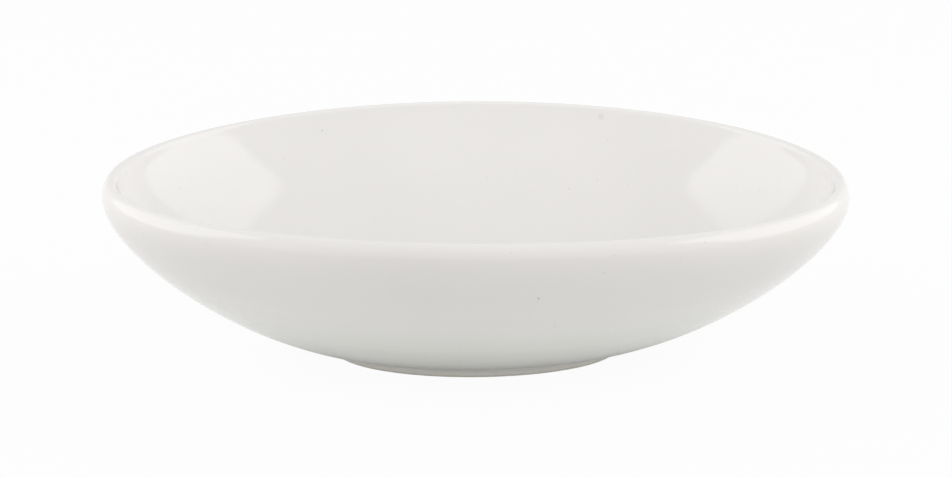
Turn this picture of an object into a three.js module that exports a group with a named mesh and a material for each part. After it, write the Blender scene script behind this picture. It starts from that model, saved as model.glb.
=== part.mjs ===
// Oval serving bowl of glazed white ceramic on a low foot ring.
// Millimetres, +Z up, +X along the length. The foot stands on Z = 0 and the bowl is centred on the Z axis.
import * as THREE from 'three';
import { mergeVertices } from 'three/addons/utils/BufferGeometryUtils.js';

// Rim, measured over the glaze.
const RIM_LENGTH = 250; // over the lip, end to end
const RIM_WIDTH = 176; // over the lip, side to side
const END_HEIGHT = 61.5; // table to the top of the rim at the two ends
const SIDE_RISE = 3; // how much higher the rim stands at the middle of each long side

// Lip, outside a quarter of an ellipse and inside an arc.
const LIP_HEIGHT = 5; // foot of the lip outside up to its crest
const LIP_CREST = 2.5; // outer face in to the crest
const LIP_RADIUS = 3; // of the arc inside
const INSIDE_LEAN_DEGREES = 15; // how far the inside opens out where it meets the lip

// Faces of the wall: a curve at the ends and one at the sides, from the flat of the floor to the lip.
const OUTSIDE_END_SWEEP = 42; // how strongly the curve holds to the floor's level
const OUTSIDE_SIDE_SWEEP = 32;
const OUTSIDE_RIM_SWEEP = 15.75; // how strongly the curve holds to its direction at the lip
const INSIDE_END_SWEEP = 31.5;
const INSIDE_SIDE_SWEEP = 25;
const INSIDE_RIM_SWEEP = 27.5;
const FLOOR_THICKNESS = 5; // over the glaze on both faces
const GLAZE_THICKNESS = 0.4;

// Foot ring, measured on the bare clay where it stands.
const FOOT_LENGTH = 96;
const FOOT_WIDTH = 56;
const FOOT_BAND = 6; // width of the ring that stands on the table, chamfers included
const FOOT_CHAMFER = 0.5; // on both lower edges of the ring
const FOOT_FLARE_DEGREES = 8; // both sides of the ring spread towards the bowl
const BARE_STRIP = 0.3; // unglazed strip above each chamfer
const WELL_DEPTH = 2; // table to the glazed underside inside the ring
const FLOOR_INSET = 12; // from the foot's outer edge in to the flat of the floor

// Fineness of the facets.
const SEGMENTS = 56; // around the bowl
const WALL_STEPS = 11; // up each face of the wall
const LIP_STEPS = 8; // over the lip
const WELL_STEPS = 3; // across the underside inside the foot
const SEARCH_STEPS = 40; // halvings used to find where two surfaces meet

// Section from the centre of the underside, up the outside, over the lip and down the inside to the centre.
// Stations along it: the flat of the underside ends at 1, the outside at 2, the lip at 4, the inside at 5.
const LIP_START = 2;
const LIP_END = 4;
const FLOOR_EDGE = 5;
const CENTRE = 6;
const flatHalfLength = FOOT_LENGTH / 2 - FLOOR_INSET;
const flatHalfWidth = FOOT_WIDTH / 2 - FLOOR_INSET;
const sideHeight = END_HEIGHT + SIDE_RISE;
const endSection = section(flatHalfLength, OUTSIDE_END_SWEEP, INSIDE_END_SWEEP, RIM_LENGTH / 2, END_HEIGHT);
const sideSection = section(flatHalfWidth, OUTSIDE_SIDE_SWEEP, INSIDE_SIDE_SWEEP, RIM_WIDTH / 2, sideHeight);

// Stretches of the section at the ends or at the sides, as reach from the axis and height.
function section(flat, outsideSweep, insideSweep, rimReach, rimTop) {
  const lean = THREE.MathUtils.degToRad(INSIDE_LEAN_DEGREES);
  const crest = rimReach - LIP_CREST;
  const lipFoot = rimTop - LIP_HEIGHT;
  const floorTop = WELL_DEPTH + FLOOR_THICKNESS;
  const point = (reach, height) => new THREE.Vector2(reach, height);
  const lipOutside = new THREE.EllipseCurve(crest, lipFoot, LIP_CREST, LIP_HEIGHT, 0, Math.PI / 2);
  const lipInside = new THREE.EllipseCurve(
    crest, rimTop - LIP_RADIUS, LIP_RADIUS, LIP_RADIUS, Math.PI / 2, Math.PI - lean,
  );
  const lipEnd = lipInside.getPoint(1);
  const outside = new THREE.CubicBezierCurve(
    point(flat, WELL_DEPTH),
    point(flat + outsideSweep, WELL_DEPTH),
    point(rimReach, lipFoot - OUTSIDE_RIM_SWEEP),
    point(rimReach, lipFoot),
  );
  const inside = new THREE.CubicBezierCurve(
    lipEnd,
    point(lipEnd.x - INSIDE_RIM_SWEEP * Math.sin(lean), lipEnd.y - INSIDE_RIM_SWEEP * Math.cos(lean)),
    point(flat + insideSweep, floorTop),
    point(flat, floorTop),
  );
  const underside = new THREE.LineCurve(point(0, WELL_DEPTH), point(flat, WELL_DEPTH));
  const floor = new THREE.LineCurve(point(flat, floorTop), point(0, floorTop));
  return [underside, outside, lipOutside, lipInside, inside, floor];
}

// Point of a section at a station.
function sectionPoint(stretches, station) {
  const index = Math.min(Math.floor(station), stretches.length - 1);
  return stretches[index].getPoint(station - index);
}

// Point of the glazed surface: around the bowl, one section blends into the other.
function surfacePoint(station, angle) {
  const cos = Math.cos(angle);
  const sin = Math.sin(angle);
  const end = sectionPoint(endSection, station);
  const side = sectionPoint(sideSection, station);
  return new THREE.Vector3(end.x * cos, side.x * sin, end.y * cos * cos + side.y * sin * sin);
}

// Direction straight out of the glazed surface.
function outward(station, angle) {
  const step = 1e-5;
  const middle = THREE.MathUtils.clamp(station, 2 * step, CENTRE - 2 * step);
  const along = surfacePoint(middle + step, angle).sub(surfacePoint(middle - step, angle));
  const around = surfacePoint(middle, angle + step).sub(surfacePoint(middle, angle - step)).normalize();
  return around.cross(along).normalize();
}

// Point at a depth under the glazed surface.
function facePoint(station, angle, depth) {
  return surfacePoint(station, angle).addScaledVector(outward(station, angle), -depth);
}

// Half-length and half-width of the foot ring's outer or inner side at a height, with a coat of glaze if any.
function footReach(side, height, coat) {
  const spread = height * Math.tan(THREE.MathUtils.degToRad(FOOT_FLARE_DEGREES)) + coat;
  const inset = side === 'outer' ? -spread : FOOT_BAND + spread;
  return { x: FOOT_LENGTH / 2 - inset, y: FOOT_WIDTH / 2 - inset };
}

// Station where the underside of the bowl meets a side of the foot ring.
function meetingStation(side, angle, depth, coat) {
  let low = 0;
  let high = LIP_START;
  for (let i = 0; i < SEARCH_STEPS; i += 1) {
    const station = (low + high) / 2;
    const point = facePoint(station, angle, depth);
    const reach = footReach(side, point.z, coat);
    const outside = Math.hypot(point.x / reach.x, point.y / reach.y) > 1;
    if (outside) {
      high = station;
    } else {
      low = station;
    }
  }
  return (low + high) / 2;
}

// One ring of points around the bowl.
function ring(pointAt) {
  return Array.from({ length: SEGMENTS }, (_, i) => pointAt((2 * Math.PI * i) / SEGMENTS));
}

// Ring on a side of the foot ring at a height.
function footRing(side, height, coat = 0, inset = 0) {
  const reach = footReach(side, height, coat);
  const shift = side === 'outer' ? -inset : inset;
  return ring((angle) => new THREE.Vector3(
    (reach.x + shift) * Math.cos(angle),
    (reach.y + shift) * Math.sin(angle),
    height,
  ));
}

// Ring where the underside of the bowl meets a side of the foot ring.
function meetingRing(side, depth, coat) {
  return ring((angle) => facePoint(meetingStation(side, angle, depth, coat), angle, depth));
}

// Rings of the underside from the centre out to the inner side of the foot ring.
function wellRings(depth, coat) {
  const rings = [[facePoint(0, 0, depth)]];
  for (let i = 1; i <= WELL_STEPS; i += 1) {
    rings.push(ring((angle) => {
      const station = meetingStation('inner', angle, depth, coat) * (i / WELL_STEPS);
      return facePoint(station, angle, depth);
    }));
  }
  return rings;
}

// Rings from the foot ring's outer side up the outside, over the lip and down the inside to the centre.
function wallRings(depth, coat) {
  const rings = [];
  for (let i = 0; i <= WALL_STEPS; i += 1) {
    rings.push(ring((angle) => {
      const start = meetingStation('outer', angle, depth, coat);
      return facePoint(start + (LIP_START - start) * (i / WALL_STEPS), angle, depth);
    }));
  }
  for (let i = 1; i <= LIP_STEPS; i += 1) {
    const station = LIP_START + (LIP_END - LIP_START) * (i / LIP_STEPS);
    rings.push(ring((angle) => facePoint(station, angle, depth)));
  }
  for (let i = 1; i <= WALL_STEPS; i += 1) {
    const station = LIP_END + (FLOOR_EDGE - LIP_END) * (i / WALL_STEPS);
    rings.push(ring((angle) => facePoint(station, angle, depth)));
  }
  rings.push([facePoint(CENTRE, 0, depth)]);
  return rings;
}

// Triangles between neighbouring rings; a ring of one point is the centre of a fan.
function patch(rings) {
  const triangles = [];
  for (let i = 0; i + 1 < rings.length; i += 1) {
    const lower = rings[i];
    const upper = rings[i + 1];
    for (let j = 0; j < SEGMENTS; j += 1) {
      const next = (j + 1) % SEGMENTS;
      if (lower.length > 1) {
        triangles.push([lower[j], lower[next], upper[upper.length > 1 ? next : 0]]);
      }
      if (upper.length > 1) {
        triangles.push([lower[lower.length > 1 ? j : 0], upper[next], upper[j]]);
      }
    }
  }
  return triangles;
}

// The same triangles seen from the other side, so that two pieces share one face exactly.
function facing(triangles) {
  return triangles.map(([a, b, c]) => [a, c, b]);
}

// Closed body made of patches that join edge to edge.
function body(name, patches, material) {
  const corners = patches.flat().flat();
  const geometry = new THREE.BufferGeometry().setFromPoints(corners);
  const joined = mergeVertices(geometry, 1e-4);
  joined.computeVertexNormals();
  const mesh = new THREE.Mesh(joined, material);
  mesh.name = name;
  return mesh;
}

// Faces shared by the pieces.
const dryEdge = FOOT_CHAMFER + BARE_STRIP;
const footInside = meetingRing('inner', GLAZE_THICKNESS, 0);
const footOutside = meetingRing('outer', GLAZE_THICKNESS, 0);
const footInsideEdge = footRing('inner', dryEdge);
const footOutsideEdge = footRing('outer', dryEdge);
const underFloor = patch(wellRings(GLAZE_THICKNESS, 0));
const footSeat = patch([footInside, footOutside]);
const clayWall = patch(wallRings(GLAZE_THICKNESS, 0));
const footOuterSide = patch([footOutsideEdge, footOutside]);
const footInnerSide = patch([footInside, footInsideEdge]);

// Clay wall of the bowl.
function bowlShell() {
  const clay = new THREE.MeshStandardMaterial({ color: 0xe8e3d8, roughness: 0.85, metalness: 0 });
  return body('bowl_shell', [underFloor, footSeat, clayWall], clay);
}

// Clay ring that the bowl stands on, with its bare lower edge.
function footRingBody() {
  const clay = new THREE.MeshStandardMaterial({ color: 0xded7ca, roughness: 0.9, metalness: 0 });
  const bareEdge = patch([
    footInsideEdge,
    footRing('inner', FOOT_CHAMFER),
    footRing('inner', 0, 0, FOOT_CHAMFER),
    footRing('outer', 0, 0, FOOT_CHAMFER),
    footRing('outer', FOOT_CHAMFER),
    footOutsideEdge,
  ]);
  return body('foot_ring', [facing(footSeat), footOuterSide, footInnerSide, bareEdge], clay);
}

// Glaze over the inside, the lip, the outside and the outer side of the foot.
function glazeCoat() {
  const glaze = new THREE.MeshStandardMaterial({ color: 0xf3f3f0, roughness: 0.12, metalness: 0 });
  const lowerEdge = footRing('outer', dryEdge, GLAZE_THICKNESS);
  const surface = patch([lowerEdge, ...wallRings(0, GLAZE_THICKNESS)]);
  const edge = patch([footOutsideEdge, lowerEdge]);
  return body('glaze_coat', [surface, edge, facing(clayWall), facing(footOuterSide)], glaze);
}

// Glaze on the underside inside the foot ring.
function footWellGlaze() {
  const glaze = new THREE.MeshStandardMaterial({ color: 0xefefeb, roughness: 0.15, metalness: 0 });
  const lowerEdge = footRing('inner', dryEdge, GLAZE_THICKNESS);
  const surface = patch([...wellRings(0, GLAZE_THICKNESS), lowerEdge]);
  const edge = patch([lowerEdge, footInsideEdge]);
  return body('foot_well_glaze', [surface, edge, facing(underFloor), facing(footInnerSide)], glaze);
}

const bowl = new THREE.Group();
bowl.name = 'oval_bowl';
bowl.add(bowlShell(), footRingBody(), glazeCoat(), footWellGlaze());

export default bowl;
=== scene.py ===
import math

import bpy
import numpy as np
from mathutils import Matrix, Vector


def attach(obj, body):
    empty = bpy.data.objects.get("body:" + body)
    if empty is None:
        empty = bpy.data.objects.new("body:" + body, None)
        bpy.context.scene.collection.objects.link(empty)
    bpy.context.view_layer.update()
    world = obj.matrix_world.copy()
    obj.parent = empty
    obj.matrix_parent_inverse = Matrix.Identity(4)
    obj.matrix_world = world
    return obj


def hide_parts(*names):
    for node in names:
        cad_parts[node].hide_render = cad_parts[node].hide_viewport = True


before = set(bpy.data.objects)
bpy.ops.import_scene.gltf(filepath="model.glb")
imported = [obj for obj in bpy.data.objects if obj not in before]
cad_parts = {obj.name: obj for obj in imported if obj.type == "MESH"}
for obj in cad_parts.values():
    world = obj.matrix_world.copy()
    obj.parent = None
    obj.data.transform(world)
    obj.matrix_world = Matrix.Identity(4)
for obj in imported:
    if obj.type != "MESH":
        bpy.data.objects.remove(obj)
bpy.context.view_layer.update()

# Sizes of the bowl in metres, the same as in the part's source.
RIM_LENGTH = 0.250
RIM_WIDTH = 0.176
END_HEIGHT = 0.0615
SIDE_RISE = 0.003
OUTSIDE_END_SWEEP = 0.042
OUTSIDE_SIDE_SWEEP = 0.032
OUTSIDE_RIM_SWEEP = 0.01575
INSIDE_END_SWEEP = 0.0315
INSIDE_SIDE_SWEEP = 0.025
INSIDE_RIM_SWEEP = 0.0275
FLOOR_THICKNESS = 0.005
GLAZE_THICKNESS = 0.0004
FOOT_LENGTH = 0.096
FOOT_WIDTH = 0.056
FOOT_BAND = 0.006
FOOT_FLARE = math.radians(8)
BARE_STRIP = 0.0003
WELL_DEPTH = 0.002
FLOOR_INSET = 0.012

# Sizes that differ from the part's source: the lip rolls over more widely outside and more tightly inside,
# the inside is steeper just below it, at the sides the flat of the underside reaches further out,
# and the foot's lower edges are rounded less.
LIP_END_HEIGHT = 0.0055
LIP_SIDE_HEIGHT = 0.004
LIP_END_CREST = 0.003
LIP_SIDE_CREST = 0.0045
LIP_END_RADIUS = 0.002
LIP_SIDE_RADIUS = 0.001
INSIDE_LEAN = math.radians(10)
SIDE_FLAT = 0.0055
FOOT_CHAMFER = 0.00025

# Details that only the looks have.
SEAM_POOL = 0.001  # how far the glaze pools up and down from the seam above the foot
SHIFT_SHARE = 0.6  # share of the outside, from the lip down, over which the glaze shifts from its upper to its lower colour
POOL_SHADE_SHARE = 0.12  # share of the outside, from the seam up, over which the pooled glaze and its painted shade fade
KILN_SAG = 0.00102  # how far the rim dropped at one end, and rose at the other, in the kiln
KILN_TWIST = 0.00069  # how far the rim twisted across its corners in the kiln

# Fineness of the meshes.
AROUND = 240
WALL_STEPS = 64
LIP_STEPS = 24
FLOOR_STEPS = 12
WELL_STEPS = 16
BEAD_STEPS = 5
SEARCH_STEPS = 40

# Camera, at the photograph's viewing angle.
PHOTO_WIDTH = 952
LENS_PIXELS = 2968.2
SENSOR_WIDTH = 36
CAMERA_DISTANCE = 1.0
CAMERA_ELEVATION = math.radians(17.83)
CAMERA_TURN = math.radians(2.405)
AIM = Vector((-0.00026, 0, 0.03924))

# Floor.
FLOOR_REACH = 6.0
FLOOR_COLOUR = (0.72, 0.72, 0.72, 1)
FLOOR_WHITE_SHARE = 0.95

# Colours, as they look in plain daylight, save the painted shade and painted light noted below.
GLAZE_WARM = (0.819, 0.803, 0.788)
GLAZE_COOL = (0.86, 0.862, 0.818)
GLAZE_UPPER_AND_LIP = (0.785, 0.762, 0.735)
# Pooled glaze at the seam above the foot, painted much darker as the shade in that crease.
GLAZE_POOL_SHADE = (0.6, 0.593, 0.535)
# Glaze on the foot, painted lighter than white glaze is, as painted light on the shaded foot.
GLAZE_FOOT_LIT = (0.93, 0.91, 0.855)
SPECK = (0.3, 0.23, 0.16)
CLAY = (0.8, 0.75, 0.68)
CLAY_SOILED = (0.72, 0.66, 0.59)

# Glaze.
GLAZE_ZONES = ("lower_outside", "upper_and_lip", "pool_shade", "foot")
GLAZE_IOR = 1.55
WAVE_DEPTH = 0.00013
PEEL_DEPTH = 0.000008
SPECK_SPACING = 0.0036
SPECK_RADIUS = 0.00045
SPECK_STRENGTH = 0.28
LARGE_SPECKS = (
    ((-0.0521, 0.0725, 0.0574), 0.0005, 0.5),
    ((0.0477, 0.0749, 0.0608), 0.0016, 0.12),
    ((0.0157, -0.0814, 0.0458), 0.0006, 0.45),
    ((0.0216, -0.0705, 0.0329), 0.0005, 0.35),
    ((-0.0145, -0.0629, 0.0251), 0.0006, 0.4),
)

# Clay.
GRAIN_DEPTH = 0.00003

# Light: a softbox with rounded corners on each side, in a pale tent, darker overhead and behind.
TENT_LEVEL = 1.19
TENT_TOP_LEVEL = 0.725
TENT_BACK_SHARE = 0.75
SOFTBOX_WIDTH = 0.83
SOFTBOX_TALL = 0.93
SOFTBOX_HEIGHT = 0.505
SOFTBOX_AWAY = 0.6
SOFTBOX_BACK = 0.115
FRONT_SHARE = 1.45  # level of a softbox's edge nearest the camera, as a share of its mean
LEFT_LEVEL = 0.97
RIGHT_LEVEL = 0.99

# Stations along the section: flat of the underside, outside, lip, inside, flat of the floor.
LIP_START = 2
LIP_END = 4
FLOOR_EDGE = 5
CENTRE = 6

rim_level = END_HEIGHT - LIP_END_HEIGHT
floor_top = WELL_DEPTH + FLOOR_THICKNESS
dry_edge = FOOT_CHAMFER + BARE_STRIP
angles = np.linspace(0, 2 * np.pi, AROUND, endpoint=False)


# Straight stretch of a section, as its points at shares of its length.
def straight(start, end):
    return lambda share: start + share[:, None] * (end - start)


# Cubic stretch through its four control points.
def cubic(*corners):
    def points(share):
        left = 1 - share
        weights = (left ** 3, 3 * left ** 2 * share, 3 * left * share ** 2, share ** 3)
        return sum(weight[:, None] * corner for weight, corner in zip(weights, corners))
    return points


# Elliptical stretch between two turns.
def arc(centre, reach, height, start, end):
    def points(share):
        turn = start + share * (end - start)
        return centre + np.stack([reach * np.cos(turn), height * np.sin(turn)], axis=1)
    return points


# Stretches of the section at the ends or at the sides, as reach from the axis and height. The lip is given
# by the height and width of its outer roll and the radius of its inner edge.
def section(under_reach, floor_reach, outside_sweep, inside_sweep, rim_reach, rim_top, lip):
    lip_height, lip_crest, lip_radius = lip
    under = np.array([under_reach, WELL_DEPTH])
    inner = np.array([floor_reach, floor_top])
    rim = np.array([rim_reach, rim_top - lip_height])
    outer_centre = rim - np.array([lip_crest, 0])
    inner_centre = np.array([rim_reach - lip_crest, rim_top - lip_radius])
    lean = np.array([math.sin(INSIDE_LEAN), math.cos(INSIDE_LEAN)])
    lip_end = inner_centre + lip_radius * np.array([-math.cos(INSIDE_LEAN), math.sin(INSIDE_LEAN)])
    level = np.array([1, 0])
    upright = np.array([0, 1])
    return (
        straight(np.array([0, WELL_DEPTH]), under),
        cubic(under, under + outside_sweep * level, rim - OUTSIDE_RIM_SWEEP * upright, rim),
        arc(outer_centre, lip_crest, lip_height, 0, math.pi / 2),
        arc(inner_centre, lip_radius, lip_radius, math.pi / 2, math.pi - INSIDE_LEAN),
        cubic(lip_end, lip_end - INSIDE_RIM_SWEEP * lean, inner + inside_sweep * level, inner),
        straight(inner, np.array([0, floor_top])),
    )


half_length = FOOT_LENGTH / 2 - FLOOR_INSET
half_width = FOOT_WIDTH / 2 - FLOOR_INSET
END_SECTION = section(
    half_length, half_length, OUTSIDE_END_SWEEP, INSIDE_END_SWEEP,
    RIM_LENGTH / 2, END_HEIGHT, (LIP_END_HEIGHT, LIP_END_CREST, LIP_END_RADIUS))
SIDE_SECTION = section(
    half_width + SIDE_FLAT, half_width, OUTSIDE_SIDE_SWEEP - SIDE_FLAT, INSIDE_SIDE_SWEEP,
    RIM_WIDTH / 2, END_HEIGHT + SIDE_RISE, (LIP_SIDE_HEIGHT, LIP_SIDE_CREST, LIP_SIDE_RADIUS))


# Points of a section at stations.
def section_points(stretches, station):
    index = np.minimum(station.astype(int), len(stretches) - 1)
    points = np.empty((len(station), 2))
    for i, stretch in enumerate(stretches):
        here = index == i
        points[here] = stretch(station[here] - i)
    return points


# Points of the glazed surface: around the bowl, one section blends into the other.
def surface_points(station, angle):
    cos, sin = np.cos(angle), np.sin(angle)
    end = section_points(END_SECTION, station)
    side = section_points(SIDE_SECTION, station)
    z = end[:, 1] * cos ** 2 + side[:, 1] * sin ** 2
    return np.stack([end[:, 0] * cos, side[:, 0] * sin, z], axis=1)


# Vectors of the same directions and of length one.
def unit(vectors):
    return vectors / np.linalg.norm(vectors, axis=1, keepdims=True)


# Points at a depth under the glazed surface.
def face_points(station, angle, depth):
    station = np.broadcast_to(np.asarray(station, float), angle.shape)
    step = 1e-5
    middle = np.clip(station, 2 * step, CENTRE - 2 * step)
    along = surface_points(middle + step, angle) - surface_points(middle - step, angle)
    around = surface_points(middle, angle + step) - surface_points(middle, angle - step)
    outward = unit(np.cross(unit(around), along))
    return surface_points(station, angle) - depth * outward


# Half-length and half-width of a side of the foot ring at a height.
def foot_reach(side, height, coat):
    spread = height * math.tan(FOOT_FLARE) + coat
    inset = -spread if side == "outer" else FOOT_BAND + spread
    return FOOT_LENGTH / 2 - inset, FOOT_WIDTH / 2 - inset


# Ring on a side of the foot ring.
def foot_ring_points(side, height, coat=0.0, inset=0.0):
    height = np.broadcast_to(np.asarray(height, float), angles.shape)
    reach_x, reach_y = foot_reach(side, height, coat)
    shift = -inset if side == "outer" else inset
    return np.stack([(reach_x + shift) * np.cos(angles), (reach_y + shift) * np.sin(angles), height], axis=1)


# Stations where the underside of the bowl meets a side of the foot ring.
def meeting_stations(side, depth, coat):
    low = np.zeros_like(angles)
    high = np.full_like(angles, LIP_START)
    for _ in range(SEARCH_STEPS):
        station = (low + high) / 2
        points = face_points(station, angles, depth)
        reach_x, reach_y = foot_reach(side, points[:, 2], coat)
        outside = np.hypot(points[:, 0] / reach_x, points[:, 1] / reach_y) > 1
        high = np.where(outside, station, high)
        low = np.where(outside, low, station)
    return (low + high) / 2


# Rings of the underside from the centre to the foot ring's inner side.
def well_rings(depth, end_station):
    rings = [face_points(0, np.zeros(1), depth)]
    for i in range(1, WELL_STEPS + 1):
        rings.append(face_points(end_station * i / WELL_STEPS, angles, depth))
    return rings


# Rings up the outside from a station, over the lip and down the inside to the centre.
def wall_rings(depth, start_station):
    stations = [start_station + (LIP_START - start_station) * i / WALL_STEPS for i in range(WALL_STEPS + 1)]
    stations += list(np.linspace(LIP_START, LIP_END, LIP_STEPS + 1)[1:])
    stations += list(np.linspace(LIP_END, FLOOR_EDGE, WALL_STEPS + 1)[1:])
    stations += list(np.linspace(FLOOR_EDGE, CENTRE, FLOOR_STEPS + 1)[1:-1])
    rings = [face_points(station, angles, depth) for station in stations]
    rings.append(face_points(CENTRE, np.zeros(1), depth))
    return rings


# Rings of a glaze's rolled lower edge and of the pool in its corner, from the edge up to the wall.
def foot_glaze_rings(side):
    station = meeting_stations(side, 0, GLAZE_THICKNESS)
    corner = face_points(station, angles, 0)
    outward = 1 if side == "outer" else -1
    pool_station = station + outward * SEAM_POOL / OUTSIDE_END_SWEEP / 3
    on_wall = face_points(pool_station, angles, 0)
    on_foot = foot_ring_points(side, corner[:, 2] - SEAM_POOL, GLAZE_THICKNESS)
    rings = []
    for i in range(BEAD_STEPS + 1):
        roll = math.pi / 2 * (1 - i / BEAD_STEPS)
        height = dry_edge + GLAZE_THICKNESS * (1 - math.sin(roll))
        rings.append(foot_ring_points(side, height, GLAZE_THICKNESS * math.cos(roll)))
    for i in range(BEAD_STEPS):
        share = i / BEAD_STEPS
        rings.append((1 - share) ** 2 * on_foot + 2 * share * (1 - share) * corner + share ** 2 * on_wall)
    return rings, pool_station


# The kiln left the rim slightly out of true: one end a little low, and a little twisted.
def warped(points):
    share = np.clip((points[:, 2] - floor_top) / (rim_level - floor_top), 0, 1)
    angle = np.arctan2(points[:, 1] / RIM_WIDTH, points[:, 0] / RIM_LENGTH)
    lift = KILN_TWIST * np.sin(angle) * np.cos(angle) - KILN_SAG * np.cos(angle)
    return points + np.stack([np.zeros_like(lift), np.zeros_like(lift), share * lift], axis=1)


# Mesh object skinned over rings; a ring of one point closes the mesh in a fan.
def skin(name, rings, closed):
    points = warped(np.concatenate(rings))
    starts = np.cumsum([0] + [len(ring) for ring in rings])
    pairs = [(i, i + 1) for i in range(len(rings) - 1)]
    if closed:
        pairs.append((len(rings) - 1, 0))
    faces = []
    for low, high in pairs:
        low_single = len(rings[low]) == 1
        high_single = len(rings[high]) == 1
        for j in range(AROUND):
            if low_single and high_single:
                break
            k = (j + 1) % AROUND
            a, b = starts[low] + j, starts[low] + k
            c, d = starts[high] + k, starts[high] + j
            if low_single:
                faces.append((starts[low], c, d))
            elif high_single:
                faces.append((a, b, starts[high]))
            else:
                faces.append((a, b, c, d))
    mesh = bpy.data.meshes.new(name)
    mesh.from_pydata(points.tolist(), [], [tuple(int(v) for v in face) for face in faces])
    mesh.update()
    mesh.shade_smooth()
    piece = bpy.data.objects.new(name, mesh)
    bpy.context.scene.collection.objects.link(piece)
    return piece


clay_inner = meeting_stations("inner", GLAZE_THICKNESS, 0)
clay_outer = meeting_stations("outer", GLAZE_THICKNESS, 0)


# Clay wall under the glaze.
def make_shell():
    rings = well_rings(GLAZE_THICKNESS, clay_inner) + wall_rings(GLAZE_THICKNESS, clay_outer)
    return skin("clay_wall", rings, closed=False)


# Clay foot with rounded lower edges.
def make_foot():
    rings = [face_points(station, angles, GLAZE_THICKNESS) for station in (clay_outer, clay_inner)]
    rings.append(foot_ring_points("inner", dry_edge))
    for i in range(BEAD_STEPS + 1):
        roll = math.pi / 2 * i / BEAD_STEPS
        height = FOOT_CHAMFER * (1 - math.sin(roll))
        rings.append(foot_ring_points("inner", height, inset=FOOT_CHAMFER * (1 - math.cos(roll))))
    for i in range(BEAD_STEPS, -1, -1):
        roll = math.pi / 2 * i / BEAD_STEPS
        height = FOOT_CHAMFER * (1 - math.sin(roll))
        rings.append(foot_ring_points("outer", height, inset=FOOT_CHAMFER * (1 - math.cos(roll))))
    rings.append(foot_ring_points("outer", dry_edge))
    piece = skin("clay_foot", rings, closed=True)
    piece.data.set_sharp_from_angle(angle=math.radians(40))
    return piece


# Glaze over the inside, lip, outside and outer side of the foot, with the zones in which its look differs.
def make_glaze():
    edge, station = foot_glaze_rings("outer")
    surface = edge + wall_rings(0, station)
    contact = wall_rings(GLAZE_THICKNESS, clay_outer)
    piece = skin("glaze", surface + contact[::-1], closed=True)
    up_wall = np.linspace(0, 1, WALL_STEPS + 1)
    over_lip = np.linspace(0, 1, LIP_STEPS + 1)[1:]
    zones = {name: np.zeros(len(surface) + len(contact)) for name in GLAZE_ZONES}
    wall = slice(len(edge), len(edge) + WALL_STEPS + 1)
    lip = slice(wall.stop, wall.stop + LIP_STEPS)
    # The outside is lighter and cooler towards the bottom, darker and warmer towards and over the lip.
    zones["lower_outside"][:wall.start] = 1
    zones["lower_outside"][wall] = np.clip((1 - up_wall) / SHIFT_SHARE, 0, 1)
    zones["upper_and_lip"][wall] = 1 - zones["lower_outside"][wall]
    zones["upper_and_lip"][lip] = np.cos(math.pi / 2 * over_lip) ** 2
    seam = slice(BEAD_STEPS + 1, wall.start)
    # Painted shade: the pooled glaze at the seam and just above it is darkened for the shade of the crease.
    zones["pool_shade"][seam] = np.linspace(0, 1, BEAD_STEPS)
    near_seam = np.clip(1 - up_wall / POOL_SHADE_SHARE, 0, 1)
    zones["pool_shade"][wall] = near_seam ** 2 * (3 - 2 * near_seam)
    zones["foot"][:seam.start] = 1
    zones["foot"][seam] = 1 - zones["pool_shade"][seam]
    counts = [len(ring) for ring in surface + contact[::-1]]
    for name, values in zones.items():
        layer = piece.data.attributes.new(name, "FLOAT", "POINT")
        layer.data.foreach_set("value", np.repeat(values, counts))
    return piece


# Glaze inside the foot ring.
def make_well_glaze():
    edge, station = foot_glaze_rings("inner")
    surface = well_rings(0, station) + edge[::-1]
    contact = well_rings(GLAZE_THICKNESS, clay_inner)
    return skin("well_glaze", surface + contact[::-1], closed=False)


# New shader node; an input given as a socket is linked, any other is set.
def add_node(tree, kind, inputs=None, **settings):
    made = tree.nodes.new("ShaderNode" + kind)
    for name, value in settings.items():
        setattr(made, name, value)
    for name, value in (inputs or {}).items():
        if isinstance(value, bpy.types.NodeSocket):
            tree.links.new(value, made.inputs[name])
        else:
            made.inputs[name].default_value = value
    return made


# Number worked out from two others.
def add_math(tree, operation, first, second):
    return add_node(tree, "Math", {0: first, 1: second}, operation=operation).outputs[0]


# Number moved from one range to another, held within its ends.
def add_range(tree, value, start, end, low, high, smooth=False):
    inputs = {"Value": value, "From Min": start, "From Max": end, "To Min": low, "To Max": high}
    kind = "SMOOTHSTEP" if smooth else "LINEAR"
    return add_node(tree, "MapRange", inputs, interpolation_type=kind).outputs["Result"]


# Cloudy pattern of a size in metres.
def add_noise(tree, place, size):
    return add_node(tree, "TexNoise", {"Vector": place, "Scale": 1 / size}).outputs["Fac"]


# Colour between two others; each is a socket or a written colour.
def add_blend(tree, share, first, second):
    colours = [value if isinstance(value, bpy.types.NodeSocket) else (*value, 1) for value in (first, second)]
    inputs = {0: share, 6: colours[0], 7: colours[1]}
    return add_node(tree, "Mix", inputs, data_type="RGBA").outputs[2]


# Colour made lighter or darker by a number.
def add_shade(tree, colour, shade):
    return add_node(tree, "VectorMath", {0: colour, "Scale": shade}, operation="SCALE").outputs[0]


# New material with its shader and the object's own coordinates.
def new_material(name):
    material = bpy.data.materials.new(name)
    material.use_nodes = True
    tree = material.node_tree
    shader = tree.nodes["Principled BSDF"]
    place = add_node(tree, "TexCoord").outputs["Object"]
    return material, tree, shader, place


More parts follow.
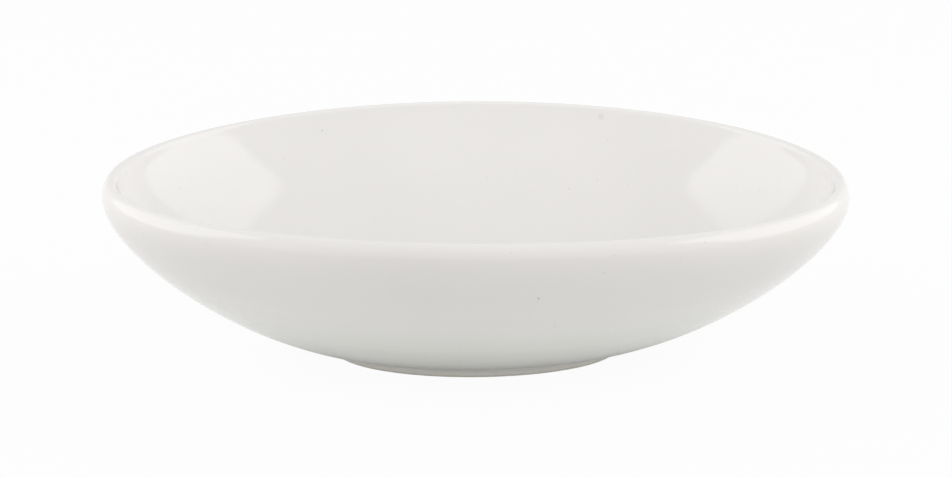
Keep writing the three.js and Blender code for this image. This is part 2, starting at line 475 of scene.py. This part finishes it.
# Iron specks in the glaze: many faint ones by chance, and the few large ones of the photograph.
def add_specks(tree, place):
    cells = add_node(tree, "TexVoronoi", {"Vector": place, "Scale": 1 / SPECK_SPACING})
    chance = add_node(tree, "SeparateColor", {"Color": cells.outputs["Color"]})
    radius = add_math(tree, "MULTIPLY", chance.outputs["Red"], SPECK_RADIUS / SPECK_SPACING)
    depth = add_math(tree, "DIVIDE", cells.outputs["Distance"], radius)
    dot = add_range(tree, depth, 0.4, 1, 1, 0, smooth=True)
    strength = add_math(tree, "MULTIPLY", chance.outputs["Green"], SPECK_STRENGTH)
    specks = add_math(tree, "MULTIPLY", dot, strength)
    for spot, spot_radius, spot_strength in LARGE_SPECKS:
        away = add_node(tree, "VectorMath", {0: place, 1: spot}, operation="DISTANCE").outputs["Value"]
        large = add_range(tree, away, spot_radius * 0.4, spot_radius, spot_strength, 0, smooth=True)
        specks = add_math(tree, "MAXIMUM", specks, large)
    return specks


# Bumps of a pattern, on top of others if any.
def add_bump(tree, height, depth, below=None):
    bump = add_node(tree, "Bump", {"Height": height, "Distance": depth})
    if below:
        tree.links.new(below, bump.inputs["Normal"])
    return bump.outputs["Normal"]


# White glaze: warm inside, lighter and cooler lower down the outside, darker and warmer on the upper outside
# and over the lip.
def glaze_material():
    material, tree, shader, place = new_material("white_glaze")
    zones = {name: add_node(tree, "Attribute", attribute_name=name).outputs["Fac"] for name in GLAZE_ZONES}
    colour = add_blend(tree, zones["lower_outside"], GLAZE_WARM, GLAZE_COOL)
    colour = add_blend(tree, zones["upper_and_lip"], colour, GLAZE_UPPER_AND_LIP)
    # Painted shade in the crease above the foot, as darker pooled glaze.
    colour = add_blend(tree, zones["pool_shade"], colour, GLAZE_POOL_SHADE)
    # Painted light: the glaze on the foot is lightened against the shade it stands in.
    colour = add_blend(tree, zones["foot"], colour, GLAZE_FOOT_LIT)
    clouds = add_range(tree, add_noise(tree, place, 0.09), 0.3, 0.7, 0.98, 1.015)
    flat = add_node(tree, "VectorMath", {0: place, 1: (0.05, 0.05, 1)}, operation="MULTIPLY").outputs[0]
    bands = add_range(tree, add_noise(tree, flat, 0.006), 0.3, 0.7, 0.985, 1.015)
    bands = add_node(tree, "Mix", {0: zones["lower_outside"], 2: 1.0, 3: bands}).outputs[0]
    colour = add_shade(tree, colour, add_math(tree, "MULTIPLY", clouds, bands))
    colour = add_blend(tree, add_specks(tree, place), colour, SPECK)
    tree.links.new(colour, shader.inputs["Base Color"])
    gloss = add_range(tree, add_noise(tree, place, 0.015), 0.3, 0.7, 0.06, 0.1)
    tree.links.new(gloss, shader.inputs["Roughness"])
    shader.inputs["IOR"].default_value = GLAZE_IOR
    waves = add_bump(tree, add_noise(tree, place, 0.025), WAVE_DEPTH)
    peel = add_bump(tree, add_noise(tree, place, 0.0015), PEEL_DEPTH, waves)
    tree.links.new(peel, shader.inputs["Normal"])
    return material


# Bare fired clay, off-white and grainy, a little soiled where it rubs on tables.
def clay_material():
    material, tree, shader, place = new_material("bare_clay")
    height = add_node(tree, "SeparateXYZ", {0: place}).outputs["Z"]
    rubbed = add_range(tree, height, 0, FOOT_CHAMFER, 0.7, 0)
    patches = add_range(tree, add_noise(tree, place, 0.008), 0.35, 0.65, 0.2, 1)
    soil = add_math(tree, "MULTIPLY", rubbed, patches)
    colour = add_blend(tree, soil, CLAY, CLAY_SOILED)
    grain = add_noise(tree, place, 0.0004)
    colour = add_shade(tree, colour, add_range(tree, grain, 0.3, 0.7, 0.93, 1.04))
    tree.links.new(colour, shader.inputs["Base Color"])
    shader.inputs["Roughness"].default_value = 0.85
    tree.links.new(add_bump(tree, grain, GRAIN_DEPTH), shader.inputs["Normal"])
    return material


# Pale floor. The camera and mirror reflections see it mostly as white, with a faint shadow of the object;
# close under the bowl, mirror reflections see mostly the pale floor itself.
def make_floor():
    mesh = bpy.data.meshes.new("floor")
    corners = [(-FLOOR_REACH, -FLOOR_REACH, 0), (FLOOR_REACH, -FLOOR_REACH, 0)]
    corners += [(FLOOR_REACH, FLOOR_REACH, 0), (-FLOOR_REACH, FLOOR_REACH, 0)]
    mesh.from_pydata(corners, [], [(0, 1, 2, 3)])
    floor = bpy.data.objects.new("floor", mesh)
    bpy.context.scene.collection.objects.link(floor)
    material, tree, shader, place = new_material("pale_floor")
    tree.nodes.remove(shader)
    shares = (2 / RIM_LENGTH, 2 / RIM_WIDTH, 0)
    place = add_node(tree, "VectorMath", {0: place, 1: shares}, operation="MULTIPLY").outputs[0]
    reach = add_node(tree, "VectorMath", {0: place}, operation="LENGTH").outputs["Value"]
    open_floor = add_range(tree, reach, 0.3, 0.8, 0.12, 1, smooth=True)
    path = add_node(tree, "LightPath")
    mirrored = add_math(tree, "ADD", path.outputs["Is Glossy Ray"], path.outputs["Is Transmission Ray"])
    mirrored = add_math(tree, "MULTIPLY", mirrored, open_floor)
    seen = add_math(tree, "ADD", path.outputs["Is Camera Ray"], mirrored)
    share = add_range(tree, seen, 0, 1, 0, FLOOR_WHITE_SHARE)
    plain = add_node(tree, "BsdfDiffuse", {"Color": FLOOR_COLOUR}).outputs[0]
    white = add_node(tree, "Emission", {"Strength": 1.0}).outputs[0]
    mix = add_node(tree, "MixShader", {0: share, 1: plain, 2: white}).outputs[0]
    tree.links.new(mix, tree.nodes["Material Output"].inputs["Surface"])
    mesh.materials.append(material)


# Softbox beside the bowl, facing across it; its corners are rounded, and it is brighter towards the camera.
def make_softbox(name, side, level):
    light = bpy.data.lights.new(name, "AREA")
    light.shape = "RECTANGLE"
    light.size = SOFTBOX_WIDTH
    light.size_y = SOFTBOX_TALL
    light.energy = level * math.pi * SOFTBOX_WIDTH * SOFTBOX_TALL
    light.use_nodes = True
    tree = light.node_tree
    geometry = add_node(tree, "NewGeometry")
    across = geometry.outputs["Parametric"]
    across = add_node(tree, "VectorMath", {0: across, 1: (0.5, 0.5, 0)}, operation="SUBTRACT").outputs[0]
    sides = add_node(tree, "SeparateXYZ", {0: across})
    powers = [add_math(tree, "POWER", add_math(tree, "ABSOLUTE", sides.outputs[i], 0), 4) for i in (0, 1)]
    edge = add_math(tree, "POWER", add_math(tree, "ADD", *powers), 0.25)
    shine = add_range(tree, edge, 0.45, 0.5, 1, 0, smooth=True)
    depth = add_node(tree, "SeparateXYZ", {0: geometry.outputs["Position"]}).outputs["Y"]
    half = SOFTBOX_WIDTH / 2
    slope = add_range(tree, depth, SOFTBOX_BACK - half, SOFTBOX_BACK + half, FRONT_SHARE, 2 - FRONT_SHARE)
    shine = add_math(tree, "MULTIPLY", shine, slope)
    tree.links.new(shine, tree.nodes["Emission"].inputs["Strength"])
    softbox = bpy.data.objects.new(name, light)
    place = Matrix.Translation((side * SOFTBOX_AWAY, SOFTBOX_BACK, SOFTBOX_HEIGHT))
    facing = Vector((-side, 0, 0)).to_track_quat("-Z", "Y").to_matrix().to_4x4()
    softbox.matrix_world = Matrix.Rotation(-CAMERA_TURN, 4, "Z") @ place @ facing
    softbox.visible_camera = False
    bpy.context.scene.collection.objects.link(softbox)


# Tent all around, darker overhead and behind, and the two softboxes.
def make_light():
    world = bpy.data.worlds.new("tent")
    bpy.context.scene.world = world
    world.use_nodes = True
    tree = world.node_tree
    direction = add_node(tree, "TexCoord").outputs["Generated"]
    direction = add_node(tree, "SeparateXYZ", {0: direction})
    level = add_range(tree, direction.outputs["Z"], 0, 1, TENT_LEVEL, TENT_TOP_LEVEL)
    behind = add_range(tree, direction.outputs["Y"], 0, 1, 1, TENT_BACK_SHARE)
    level = add_math(tree, "MULTIPLY", level, behind)
    background = tree.nodes["Background"]
    background.inputs["Color"].default_value = (1, 1, 1, 1)
    tree.links.new(level, background.inputs["Strength"])
    make_softbox("left_softbox", -1, LEFT_LEVEL)
    make_softbox("right_softbox", 1, RIGHT_LEVEL)


# Camera of the photograph. The turn is the bowl's on its table, so the camera goes round it the other way.
def make_camera():
    data = bpy.data.cameras.new("photo_camera")
    data.sensor_width = SENSOR_WIDTH
    data.lens = LENS_PIXELS * SENSOR_WIDTH / PHOTO_WIDTH
    camera = bpy.data.objects.new("photo_camera", data)
    level = math.cos(CAMERA_ELEVATION)
    rise = math.sin(CAMERA_ELEVATION)
    place = AIM + CAMERA_DISTANCE * Vector((0, -level, rise))
    tilt = Matrix.Rotation(math.pi / 2 - CAMERA_ELEVATION, 4, "X")
    turn = Matrix.Rotation(-CAMERA_TURN, 4, "Z")
    camera.matrix_world = turn @ Matrix.Translation(place) @ tilt
    bpy.context.scene.collection.objects.link(camera)
    bpy.context.scene.camera = camera


make_camera()
make_floor()
make_light()
bpy.context.scene.view_settings.view_transform = "Standard"

glaze_look = glaze_material()
clay_look = clay_material()
PIECES = (
    (make_shell(), "bowl_shell", "body_clay", clay_look),
    (make_foot(), "foot_ring", "foot_clay", clay_look),
    (make_glaze(), "glaze_coat", "glaze", glaze_look),
    (make_well_glaze(), "foot_well_glaze", "well_glaze", glaze_look),
)
for piece, node, slot, look in PIECES:
    piece.data.materials.append(look)
    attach(piece, "root")
    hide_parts(node)
